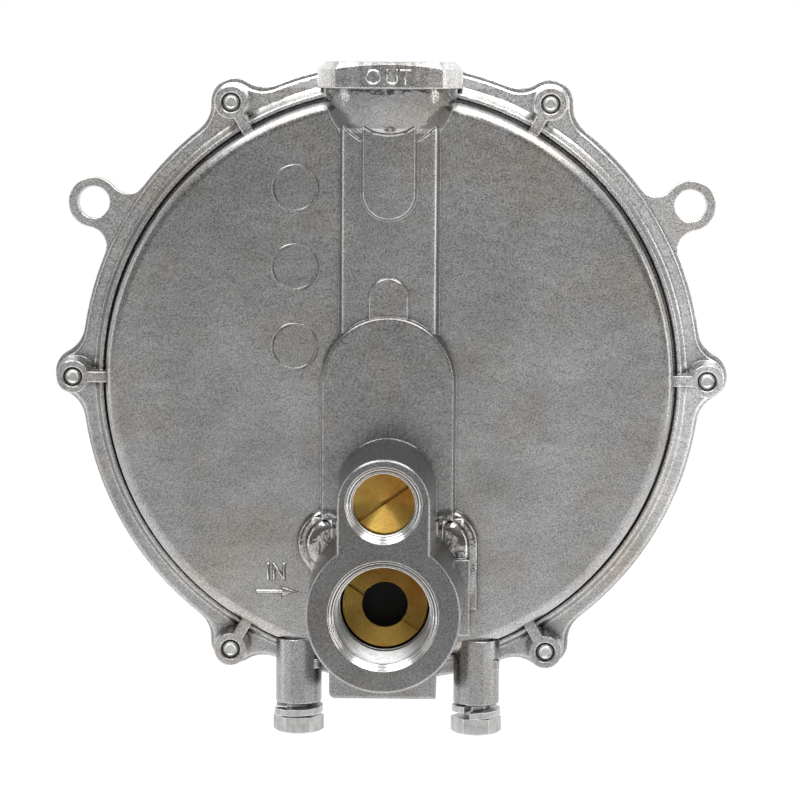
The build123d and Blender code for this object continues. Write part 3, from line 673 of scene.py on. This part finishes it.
@dataclass(frozen=True)
class PlatedSteel:
    """Bright zinc plating on steel."""

    name: str
    colour: Colour = (0.62, 0.62, 0.61)
    roughness: float = 0.3
    cloud: Cloud = Cloud(2.2, detail=3.0, rough=0.6)
    cloud_rough: float = 0.14
    fine: Cloud = Cloud(0.3, detail=2.0, rough=0.6)
    fine_depth_mm: float = 0.01
    noise_span: Pair = (0.3, 0.7)
    noise_tone: float = 0.25
    base_tone: float = 0.5
    soft_edge_mm: float = 0.12
    bright_edge_mm: float = 0.35
    edge_span: Pair = (0.01, 0.13)
    painted_edge_light: float = 0.8
    crevice_mm: float = 1.0
    crevice_span: Pair = (0.3, 0.8)
    crevice_painted_shade: float = 0.4

    def material(self) -> Material:
        """Build the material.

        Returns:
            Plating with a faint cloudiness, a painted highlight on its edges and painted shade in its
            corners.
        """
        graph = Graph(self.name)
        place = graph.place()
        cloud = graph.noise(place, self.cloud)
        fine = graph.noise(place, self.fine)
        spread = cloud.ramp(*self.noise_span) + fine.ramp(*self.noise_span)
        # Painted highlight on the edges and painted shade in corners that face other metal.
        edge = graph.edge(self.bright_edge_mm).ramp(*self.edge_span)
        clear = graph.open_share(self.crevice_mm).ramp(*self.crevice_span)
        shade = self.base_tone + spread * self.noise_tone + edge * self.painted_edge_light
        shade = shade * (self.crevice_painted_shade + clear * (1.0 - self.crevice_painted_shade))
        return graph.finish(
            Base_Color=graph.scaled(self.colour, shade),
            Metallic=1.0,
            Roughness=self.roughness + cloud * self.cloud_rough,
            Normal=graph.bump(fine, self.fine_depth_mm, self.soft_edge_mm),
        )


@dataclass(frozen=True)
class Rubber:
    """Matt black rubber with a dusty bloom."""

    name: str
    colour: Colour = (0.012, 0.012, 0.012)
    roughness: float = 0.62
    dust: Colour = (0.04, 0.04, 0.04)
    bloom: Cloud = Cloud(1.5, detail=3.0, rough=0.6)
    bloom_span: Pair = (0.55, 0.9)
    bloom_share: float = 0.4
    bloom_rough: float = 0.2
    grain: Cloud = Cloud(0.25, detail=2.0, rough=0.6)
    grain_depth_mm: float = 0.015

    def material(self) -> Material:
        """Build the material.

        Returns:
            Rubber, lighter where the bloom lies.
        """
        graph = Graph(self.name)
        place = graph.place()
        bloom = graph.noise(place, self.bloom)
        dusty = bloom.ramp(*self.bloom_span) * self.bloom_share
        return graph.finish(
            Base_Color=graph.mix(dusty, self.colour, self.dust),
            Metallic=0.0,
            Roughness=self.roughness + bloom * self.bloom_rough,
            Normal=graph.bump(graph.noise(place, self.grain), self.grain_depth_mm),
        )


# Modelling


def turn(mesh: BMesh, section: Sequence[Pair], degrees: float, steps: int, rise: float = 0.0) -> None:
    """Spin a closed section about Z and close its ends.

    Args:
        mesh: Bmesh that gets the shape.
        section: Corners of the section as (reach along X, Z), in millimetres.
        degrees: Angle, 360 for a full ring.
        steps: Faces along the way.
        rise: Climb at each step, for a helix.
    """
    verts = [mesh.verts.new((reach, 0.0, z)) for reach, z in section]
    loop = [mesh.edges.new((verts[index - 1], verts[index])) for index in range(len(verts))]
    bmesh.ops.spin(
        mesh,
        geom=verts + loop,
        cent=(0.0, 0.0, 0.0),
        axis=(0.0, 0.0, 1.0),
        dvec=(0.0, 0.0, rise),
        angle=math.radians(degrees),
        steps=steps,
        use_merge=degrees == 360.0 and rise == 0.0,
    )
    bmesh.ops.holes_fill(mesh, edges=[edge for edge in mesh.edges if edge.is_boundary], sides=0)


def ring_profile(section: Sequence[Pair], steps: int = 96) -> BMesh:
    """Full ring about Z.

    Args:
        section: Corners of its closed section as (radius, Z), in millimetres.
        steps: Faces round the ring.

    Returns:
        A bmesh in design millimetres, closed all round.
    """
    mesh = bmesh.new()
    turn(mesh, section, 360.0, steps)
    return mesh


@dataclass(frozen=True)
class Thread:
    """Right-hand inside thread about Z that starts at zero height."""

    wall_r: float
    depth: float
    pitch: float
    turns: float
    flat_share: float = 0.03
    sunk: float = 0.15
    flank_deg: float = 30.0
    steps: int = 72

    def mesh(self) -> BMesh:
        """Model the thread's crest on the wall of its bore.

        Returns:
            A bmesh in millimetres, closed at both ends.
        """
        crest = self.pitch * self.flat_share
        half = crest + (self.depth + self.sunk) * math.tan(math.radians(self.flank_deg))
        section = [
            (self.wall_r + self.sunk, -half),
            (self.wall_r - self.depth, -crest),
            (self.wall_r - self.depth, crest),
            (self.wall_r + self.sunk, half),
        ]
        mesh = bmesh.new()
        turn(mesh, section, 360.0 * self.turns, int(self.turns * self.steps), self.pitch / self.steps)
        return mesh


@dataclass(frozen=True)
class Stroke:
    """Raised strokes of a cast mark, which stand on a face at one height."""

    foot_z: float
    width: float = 0.9
    height: float = 0.42
    sunk: float = 0.1
    crown: float = 0.38
    arc_step_deg: float = 8.0

    def tall(self) -> float:
        """Height with the part that is sunk into the face."""
        return self.height + self.sunk

    def chamfer(self, mesh: BMesh, known: set[Any]) -> list[Any]:
        """Chamfer the crest of a fresh shape that stands on zero.

        Args:
            mesh: Bmesh of the mark.
            known: Its older vertices, which are left alone.

        Returns:
            Vertices of the fresh shape.
        """
        middle = self.tall() / 2.0
        crest = [
            edge
            for edge in mesh.edges
            if all(vert not in known and vert.co.z > middle for vert in edge.verts)
        ]
        bmesh.ops.bevel(
            mesh, geom=crest, offset=self.crown, segments=1, profile=0.5, affect="EDGES", material=-1
        )
        return [vert for vert in mesh.verts if vert not in known]

    def bar(self, mesh: BMesh, start: Pair, end: Pair) -> None:
        """Add a straight stroke.

        Args:
            mesh: Bmesh of the mark.
            start: One end of its middle line.
            end: The other end.
        """
        known = set(mesh.verts)
        run = Vector(end) - Vector(start)
        bmesh.ops.create_cube(mesh, size=1.0)
        fresh = [vert for vert in mesh.verts if vert not in known]
        bmesh.ops.translate(mesh, verts=fresh, vec=(0.0, 0.0, 0.5))
        bmesh.ops.scale(mesh, verts=fresh, vec=(run.length + self.width, self.width, self.tall()))
        fresh = self.chamfer(mesh, known)
        middle = (Vector(start) + Vector(end)) / 2.0
        place = Matrix.Translation((middle.x, middle.y, self.foot_z - self.sunk))
        slant = Matrix.Rotation(math.atan2(run.y, run.x), 4, "Z")
        bmesh.ops.transform(mesh, matrix=place @ slant, verts=fresh)

    def arc(self, mesh: BMesh, centre: Pair, radius: float, sweep: float) -> None:
        """Add a round stroke that starts on the left and runs below its centre.

        Args:
            mesh: Bmesh of the mark.
            centre: Its centre.
            radius: Radius of its middle line.
            sweep: Angle that it runs through, in degrees, 360 for a ring.
        """
        known = set(mesh.verts)
        low, high = self.foot_z - self.sunk, self.foot_z + self.height
        inner, outer = radius - self.width / 2.0, radius + self.width / 2.0
        section = [
            (-outer, low),
            (-outer, high - self.crown),
            (-outer + self.crown, high),
            (-inner - self.crown, high),
            (-inner, high - self.crown),
            (-inner, low),
        ]
        turn(mesh, section, sweep, int(sweep / self.arc_step_deg))
        fresh = [vert for vert in mesh.verts if vert not in known]
        bmesh.ops.translate(mesh, verts=fresh, vec=(*centre, 0.0))

    def head(self, mesh: BMesh, tip: Pair, length: float, half: float) -> None:
        """Add an arrow head that points right.

        Args:
            mesh: Bmesh of the mark.
            tip: Its point.
            length: Length along the arrow.
            half: Half of its width.
        """
        known = set(mesh.verts)
        bmesh.ops.create_circle(mesh, cap_ends=True, segments=3, radius=1.0)
        fresh = [vert for vert in mesh.verts if vert not in known]
        bmesh.ops.rotate(mesh, verts=fresh, matrix=Matrix.Rotation(math.radians(-90.0), 3, "Z"))
        faces = [face for face in mesh.faces if all(vert in fresh for vert in face.verts)]
        raised = bmesh.ops.extrude_face_region(mesh, geom=faces, use_keep_orig=True)
        top = [item for item in raised["geom"] if isinstance(item, bmesh.types.BMVert)]
        bmesh.ops.translate(mesh, verts=top, vec=(0.0, 0.0, 1.0))
        fresh = [vert for vert in mesh.verts if vert not in known]
        ahead = max(vert.co.x for vert in fresh)
        behind = min(vert.co.x for vert in fresh)
        side = max(vert.co.y for vert in fresh)
        bmesh.ops.translate(mesh, verts=fresh, vec=(-ahead, 0.0, 0.0))
        bmesh.ops.scale(mesh, verts=fresh, vec=(length / (ahead - behind), half / side, self.tall()))
        fresh = self.chamfer(mesh, known)
        bmesh.ops.translate(mesh, verts=fresh, vec=(*tip, self.foot_z - self.sunk))


def piece(name: str, mesh: BMesh, material: Material, sharp_deg: float = 24.0) -> None:
    """Turn a bmesh in design millimetres into a piece that rides on the base.

    Args:
        name: Name of the piece.
        mesh: Shape, freed here.
        material: Finish.
        sharp_deg: Angle past which an edge stays crisp.
    """
    bmesh.ops.transform(mesh, matrix=TO_ROW, verts=mesh.verts)
    bmesh.ops.remove_doubles(mesh, verts=mesh.verts, dist=WELD_M)
    bmesh.ops.recalc_face_normals(mesh, faces=mesh.faces)
    data = bpy.data.meshes.new(name)
    mesh.to_mesh(data)
    mesh.free()
    obj = bpy.data.objects.new(name, data)
    bpy.context.scene.collection.objects.link(obj)
    data.materials.append(material)
    for polygon in data.polygons:
        polygon.use_smooth = True
    data.set_sharp_from_angle(angle=math.radians(sharp_deg))
    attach(obj, Body.BASE.value)
    LOG.info("%s: %d faces", name, len(data.polygons))


def paint(material: Material, *nodes: str) -> None:
    """Give CAD nodes a finish.

    Args:
        material: Finish.
        nodes: Names of the nodes.
    """
    for name in nodes:
        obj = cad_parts[name]
        obj.data.materials.clear()
        obj.data.materials.append(material)
        LOG.info("%s: painted with %s", name, material.name)


@dataclass
class Casting:
    """Front body and rear cover."""

    inlet: Thread = Thread(wall_r=11.8, depth=0.6, pitch=1.814, turns=8.0)
    inlet_z: float = 43.6
    outlet: Thread = Thread(wall_r=11.8, depth=0.6, pitch=1.814, turns=6.6)
    outlet_y: float = 64.8
    fine: Thread = Thread(wall_r=7.7, depth=0.22, pitch=0.8, turns=2.4)
    fine_z: float = 57.1

    def dress(self) -> None:
        """Give both castings their finish."""
        paint(MachinedCasting("cast_body_finish").material(), "body_casting")
        cover = CastAluminium("cast_cover_finish", colour=(0.46, 0.46, 0.458))
        paint(cover.material(), "rear_cover")

    def build(self) -> None:
        """Add the threads that show in both ports and over the adjusting screw."""
        metal = PlatedSteel("thread_metal", (0.6, 0.6, 0.6)).material()
        upright = Matrix.Rotation(math.radians(-90.0), 4, "X")
        threads = (
            ("inlet_thread", self.inlet, Matrix.Translation((0.0, INLET_Y, self.inlet_z))),
            ("outlet_thread", self.outlet, Matrix.Translation((0.0, self.outlet_y, OUTLET_Z)) @ upright),
            ("adjuster_thread", self.fine, Matrix.Translation((0.0, SCREW_Y, self.fine_z))),
        )
        for name, thread, place in threads:
            mesh = thread.mesh()
            bmesh.ops.transform(mesh, matrix=place, verts=mesh.verts)
            piece(name, mesh, metal)


@dataclass
class Marks:
    """Cast marks on the body: three round bosses, the two port words and the flow arrow."""

    disc_places: tuple[Pair, ...] = ((-23.6, 48.06), (-23.7, 28.33), (-23.7, 8.44))
    disc_r: float = 6.0
    disc_h: float = 0.05
    rim_w: float = 0.75
    rim_h: float = 0.4
    rim_chamfer: float = 0.225
    rim_slope: float = 0.06
    sunk: float = 0.1
    in_left: float = -30.2
    in_gap: float = 1.5
    in_w: float = 2.55
    in_low: float = -50.4
    in_high: float = -46.7
    arrow_y: float = -53.6
    arrow_tail: float = -32.7
    arrow_tip: float = -22.35
    arrow_head: float = 4.5
    arrow_half: float = 1.5
    arrow_lap: float = 0.2
    out_z: float = 32.6
    out_low: float = 74.1
    out_high: float = 77.4
    out_ring_x: float = -3.85
    out_cup_x: float = 0.8
    out_tee_x: float = 4.05
    out_half: float = 1.2
    metal: Material = field(init=False)
    # Pale copy of the casting's finish: painted light on the raised strokes of the words and the arrow's
    # shaft.
    crest: Material = field(init=False)

    def dress(self) -> None:
        """Make the finishes of the marks, one of them a pale copy of the casting's finish that paints light
        on the raised strokes.
        """
        self.metal = CastAluminium("cast_mark_finish", edge_mm=0.0).material()
        pale = (0.75, 0.75, 0.75)
        self.crest = CastAluminium("cast_painted_light_finish", colour=pale, roughness=0.2, edge_mm=0.0).material()

    def discs(self) -> None:
        """Round bosses with a fine raised rim."""
        rim_r = self.disc_r - self.rim_w
        foot = PLATE_Z - self.sunk
        top = PLATE_Z + self.rim_h
        section = [
            (0.0, foot),
            (self.disc_r, foot),
            (self.disc_r, top - self.rim_chamfer),
            (self.disc_r - self.rim_chamfer, top),
            (rim_r + self.rim_chamfer, top),
            (rim_r, top - self.rim_chamfer),
            (rim_r - self.rim_slope, PLATE_Z + self.disc_h),
            (0.0, PLATE_Z + self.disc_h),
        ]
        for number, (x, y) in enumerate(self.disc_places, start=1):
            mesh = ring_profile(section)
            bmesh.ops.translate(mesh, verts=mesh.verts, vec=(x, y, 0.0))
            piece(f"mark_disc_{number}", mesh, self.metal)

    def inlet_word(self) -> None:
        """Word beside the inlet."""
        pen = Stroke(PLATE_Z)
        mesh = bmesh.new()
        left = self.in_left + self.in_gap
        right = left + self.in_w
        for x in (self.in_left, left, right):
            pen.bar(mesh, (x, self.in_low), (x, self.in_high))
        pen.bar(mesh, (left, self.in_high), (right, self.in_low))
        piece("inlet_word", mesh, self.crest, MARK_SHARP_DEG)

    def flow_arrow(self) -> None:
        """Arrow under the word, which points to the inlet."""
        pen = Stroke(PLATE_Z, width=1.15, height=0.6, crown=0.5)
        shaft = bmesh.new()
        joint = self.arrow_tip - self.arrow_head + self.arrow_lap
        pen.bar(shaft, (self.arrow_tail, self.arrow_y), (joint, self.arrow_y))
        # The shaft takes the pale finish as painted light, the head keeps the plain one.
        piece("flow_arrow_shaft", shaft, self.crest, MARK_SHARP_DEG)
        head = bmesh.new()
        pen.head(head, (self.arrow_tip, self.arrow_y), self.arrow_head, self.arrow_half)
        piece("flow_arrow_head", head, self.metal, MARK_SHARP_DEG)

    def outlet_word(self) -> None:
        """Word on the flat of the outlet collar."""
        pen = Stroke(self.out_z, width=0.62, height=0.32, crown=0.26)
        mesh = bmesh.new()
        half = (self.out_high - self.out_low) / 2.0
        pen.arc(mesh, (self.out_ring_x, self.out_low + half), half, 360.0)
        cup_y = self.out_low + self.out_half
        pen.arc(mesh, (self.out_cup_x, cup_y), self.out_half, 180.0)
        for x in (self.out_cup_x - self.out_half, self.out_cup_x + self.out_half):
            pen.bar(mesh, (x, cup_y), (x, self.out_high))
        left, right = self.out_tee_x - self.out_half, self.out_tee_x + self.out_half
        pen.bar(mesh, (left, self.out_high), (right, self.out_high))
        pen.bar(mesh, (self.out_tee_x, self.out_low), (self.out_tee_x, self.out_high))
        piece("outlet_word", mesh, self.crest, MARK_SHARP_DEG)

    def build(self) -> None:
        """Model every mark."""
        self.discs()
        self.inlet_word()
        self.flow_arrow()
        self.outlet_word()


@dataclass
class Hardware:
    """Screws, bolts, springs, seals and pressed parts."""

    screw_circle_r: float = 80.0
    screw_count: int = 6
    tip_z: float = 14.0
    point_r: float = 2.0
    point_h: float = 0.45
    land_r: float = 1.45
    dimple_r: float = 1.1
    dimple_depth: float = 0.2
    sunk: float = 0.2
    chamfer_sunk: float = 0.05
    round_steps: int = 32
    zinc: Material = field(init=False)

    def dress(self) -> None:
        """Give the small parts their finishes."""
        self.zinc = PlatedSteel("screw_plating", (0.8, 0.8, 0.78)).material()
        paint(self.zinc, "cover_screws", "pivot_pin_screws")
        pressed = ("valve_lever", "diaphragm_front_plate", "diaphragm_rear_plate", "lever_pivot_pin")
        finishes = (
            (TurnedBrass("jet_brass", INLET_Y), ("inlet_orifice",)),
            (TurnedBrass("adjuster_brass", SCREW_Y), ("adjusting_screw",)),
            (TurnedBrass("button_brass", 0.0), ("primer_button", "valve_disc_holder")),
            (PlatedSteel("bolt_plating", roughness=0.24), ("bracket_bolts", "lock_washers")),
            (PlatedSteel("pressed_plating"), pressed),
            (PlatedSteel("spring_wire", (0.4, 0.4, 0.4), 0.35), ("lever_spring", "primer_spring")),
            (PlatedSteel("clip_steel", (0.35, 0.35, 0.36), 0.35), ("primer_retaining_ring",)),
            (PlatedSteel("rivet_metal", (0.6, 0.6, 0.6), 0.35), ("diaphragm_rivet",)),
            (Rubber("valve_rubber"), ("valve_disc",)),
            (Rubber("seal_rubber"), ("orifice_o_ring", "adjusting_screw_o_ring")),
            (Rubber("membrane_rubber", (0.02, 0.02, 0.02), 0.7), ("diaphragm",)),
        )
        for finish, nodes in finishes:
            paint(finish.material(), *nodes)

    def build(self) -> None:
        """Add the formed points of the cover screws, which show in the mouths of the posts."""
        high = self.tip_z + self.point_h
        section = [
            (0.0, self.tip_z - self.sunk),
            (self.point_r, self.tip_z - self.sunk),
            (self.point_r, self.tip_z - self.chamfer_sunk),
            (self.land_r, high),
            (self.dimple_r, high - self.dimple_depth),
            (0.0, high - self.dimple_depth),
        ]
        for number in range(self.screw_count):
            angle = 2.0 * math.pi * number / self.screw_count
            place = Vector((math.cos(angle), math.sin(angle), 0.0)) * self.screw_circle_r
            mesh = ring_profile(section, self.round_steps)
            bmesh.ops.translate(mesh, verts=mesh.verts, vec=place)
            piece(f"screw_point_{number + 1}", mesh, self.zinc)


@dataclass(frozen=True)
class Softbox:
    """Rectangular lamp that faces a point in the body."""

    name: str
    at_mm: Triple
    size_mm: Pair
    watts: float
    aim_mm: Triple = (0.0, 0.0, 20.0)

    def build(self) -> None:
        """Add the lamp."""
        data = bpy.data.lights.new(self.name, "AREA")
        data.shape = "RECTANGLE"
        data.size, data.size_y = self.size_mm[0] * MM, self.size_mm[1] * MM
        data.energy = self.watts
        obj = bpy.data.objects.new(self.name, data)
        bpy.context.scene.collection.objects.link(obj)
        place = TO_ROW @ Vector(self.at_mm)
        facing = (place - TO_ROW @ Vector(self.aim_mm)).to_track_quat("Z", "Y")
        obj.matrix_world = Matrix.LocRotScale(place, facing, None)


@dataclass
class Studio:
    """Camera, lamps, world and floor."""

    focal_px: float = 3188.0
    principal_px: Pair = (392.8, 380.0)
    camera_mm: Triple = (20.0, 74.0, 814.0)
    turn_deg: Triple = (5.30, -1.36, -0.45)
    image_px: float = 800.0
    sensor_mm: float = 36.0
    view_depth_m: float = 20.0
    softboxes: tuple[Softbox, ...] = (
        Softbox("left_box", (-430.0, 960.0, 100.0), (820.0, 560.0), 4.6),
        Softbox("right_box", (430.0, 960.0, 140.0), (820.0, 560.0), 5.2),
        Softbox("front_box", (0.0, 900.0, 780.0), (1400.0, 280.0), 4.6),
        Softbox("left_strip", (-1000.0, 150.0, 60.0), (300.0, 800.0), 1.2),
        Softbox("right_strip", (1000.0, 150.0, 80.0), (260.0, 700.0), 1.5),
    )
    world_grey: float = 0.5
    room_stops: tuple[Pair, ...] = (
        (-1.0, 0.08),
        (-0.4, 0.18),
        (-0.2, 0.27),
        (-0.12, 0.23),
        (0.05, 0.2),
        (0.4, 0.26),
        (1.0, 1.0),
    )
    behind_from: float = 0.05
    behind_full: float = 0.6
    floor_half_m: float = 6.0
    floor_z_m: float = -0.55
    floor_grey: float = 0.8
    floor_rough: float = 0.9
    floor_glow: float = 0.62

    def camera(self) -> None:
        """Place the camera at the photograph's angle."""
        data = bpy.data.cameras.new("view")
        data.sensor_width = self.sensor_mm
        data.lens = self.focal_px / self.image_px * self.sensor_mm
        data.shift_x = (self.image_px / 2 - self.principal_px[0]) / self.image_px
        data.shift_y = (self.principal_px[1] - self.image_px / 2) / self.image_px
        data.clip_end = self.view_depth_m
        obj = bpy.data.objects.new("view", data)
        bpy.context.scene.collection.objects.link(obj)
        turns = [Matrix.Rotation(math.radians(angle), 3, axis) for angle, axis in zip(self.turn_deg, "XYZ")]
        facing = (turns[2] @ turns[1] @ turns[0]).transposed()
        place = TO_ROW @ Matrix.Translation(Vector(self.camera_mm)) @ facing.to_4x4()
        obj.matrix_world = Matrix.LocRotScale(place.to_translation(), place.to_quaternion(), None)
        bpy.context.scene.camera = obj

    def world(self) -> None:
        """White backdrop with a grey room in front of it, which only metal sees."""
        world = bpy.data.worlds.new("studio")
        bpy.context.scene.world = world
        world.use_nodes = True
        nodes = Nodes(world.node_tree)
        way = nodes.add("ShaderNodeTexCoord", {}, {}, "Generated")
        _, back, up = nodes.split(way)
        stops = [((height + 1.0) / 2.0, (grey, grey, grey)) for height, grey in self.room_stops]
        height = up.ramp(-1.0, 1.0, smooth=False)
        room = nodes.add("ShaderNodeValToRGB", {"stops": stops}, {0: height})
        behind = back.ramp(self.behind_from, self.behind_full, smooth=False)
        white = nodes.mix(nodes.rays("Is Camera Ray").higher(behind), room, (1.0, 1.0, 1.0))
        seen = nodes.add("ShaderNodeBackground", {}, {"Color": white})
        grey = (self.world_grey, self.world_grey, self.world_grey)
        light = nodes.add("ShaderNodeBackground", {}, {"Color": grey})
        shown = nodes.add("ShaderNodeMixShader", {}, {0: nodes.sharp_rays(), 1: light, 2: seen})
        nodes.node("ShaderNodeOutputWorld", {}, {"Surface": shown})

    def floor(self) -> None:
        """Plain pale floor below the object, which shows white and keeps the shadow."""
        mesh = bmesh.new()
        bmesh.ops.create_grid(mesh, x_segments=1, y_segments=1, size=self.floor_half_m)
        bmesh.ops.translate(mesh, verts=mesh.verts, vec=(0.0, 0.0, self.floor_z_m))
        data = bpy.data.meshes.new("floor")
        mesh.to_mesh(data)
        mesh.free()
        obj = bpy.data.objects.new("floor", data)
        bpy.context.scene.collection.objects.link(obj)
        graph = Graph("floor_paint")
        grey = (self.floor_grey, self.floor_grey, self.floor_grey)
        plain = graph.surface(Base_Color=grey, Roughness=self.floor_rough)
        glow = graph.add("ShaderNodeEmission", {}, {"Strength": self.floor_glow})
        bright = graph.add("ShaderNodeAddShader", {}, {0: plain, 1: glow})
        shown = graph.add("ShaderNodeMixShader", {}, {0: graph.sharp_rays(), 1: plain, 2: bright})
        graph.node("ShaderNodeOutputMaterial", {}, {"Surface": shown})
        data.materials.append(graph.material)

    def build(self) -> None:
        """Set up everything around the object."""
        bpy.context.scene.view_settings.view_transform = "Standard"
        self.camera()
        for softbox in self.softboxes:
            softbox.build()
        self.world()
        self.floor()


def main() -> None:
    """Dress and detail every sub-assembly, then set up the studio."""
    logging.basicConfig(level=logging.INFO, format="%(name)s %(message)s")
    for assembly in (Casting(), Marks(), Hardware()):
        assembly.dress()
        assembly.build()
        LOG.info("%s done", type(assembly).__name__)
    Studio().build()


if __name__ == "__main__":
    main()
